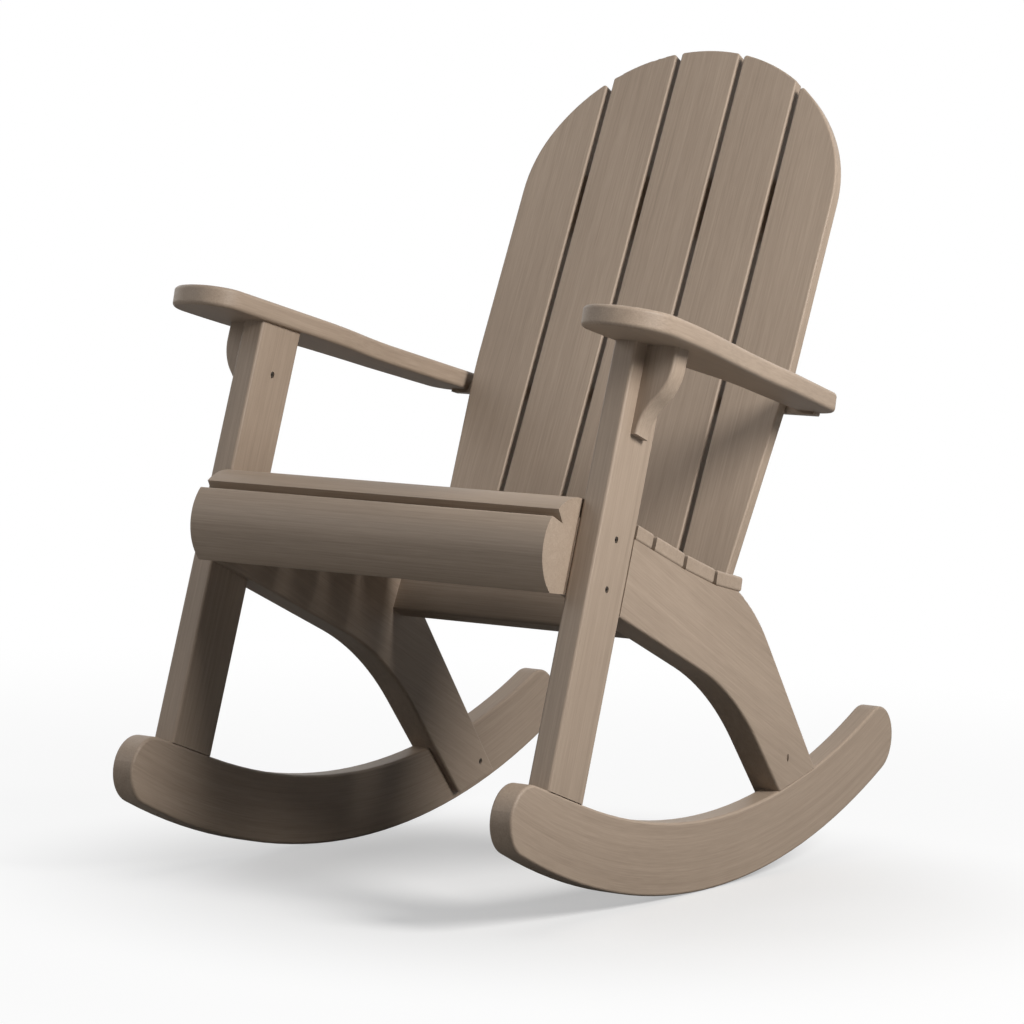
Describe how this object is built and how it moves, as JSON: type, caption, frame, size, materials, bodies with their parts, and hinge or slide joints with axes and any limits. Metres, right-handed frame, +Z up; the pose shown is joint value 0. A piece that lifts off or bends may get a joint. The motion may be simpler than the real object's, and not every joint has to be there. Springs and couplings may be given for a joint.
{
  "type": "rocking lounge chair",
  "caption": "Rocking lounge chair of flat boards with wide sloping armrests, a leaned slat back under a rounded arch, a sloped slat seat and curved runners",
  "frame": {"origin": "middle of the footprint on the floor, halfway across the width and halfway along the depth of the whole chair", "axes": "+X towards the sitter's left, +Y towards the back of the chair, +Z up"},
  "size_m": [0.7, 0.9997, 1.0625],
  "materials": {
    "boards": "satin, fine grain brushed along each board",
    "screws": "dull, dark coated",
    "dowels": "plain turned wood"
  },
  "bodies": {
    "root": {"rocker_left": "boards", "rocker_right": "boards", "front_post_left": "boards", "front_post_right": "boards", "side_rail_left": "boards", "side_rail_right": "boards", "armrest_left": "boards", "armrest_right": "boards", "arm_bracket_left": "boards", "arm_bracket_right": "boards", "seat_apron": "boards", "front_cross_rail": "boards", "seat_front_slat": "boards", "seat_slat_2": "boards", "seat_slat_3": "boards", "seat_slat_4": "boards", "seat_slat_5": "boards", "lower_back_rail": "boards", "upper_back_rail": "boards", "arm_cross_rail": "boards", "back_slat_1": "boards", "back_slat_2": "boards", "back_slat_3": "boards", "back_slat_4": "boards", "back_slat_5": "boards", "side_screws": "screws", "leg_toe_screws": "screws", "rocker_post_screws": "screws", "seat_screws": "screws", "arm_screws": "screws", "arm_rear_screws": "screws", "back_slat_screws": "screws", "back_batten_screws": "screws", "apron_screws": "screws", "dowels": "dowels"}
  },
  "joints": []
}
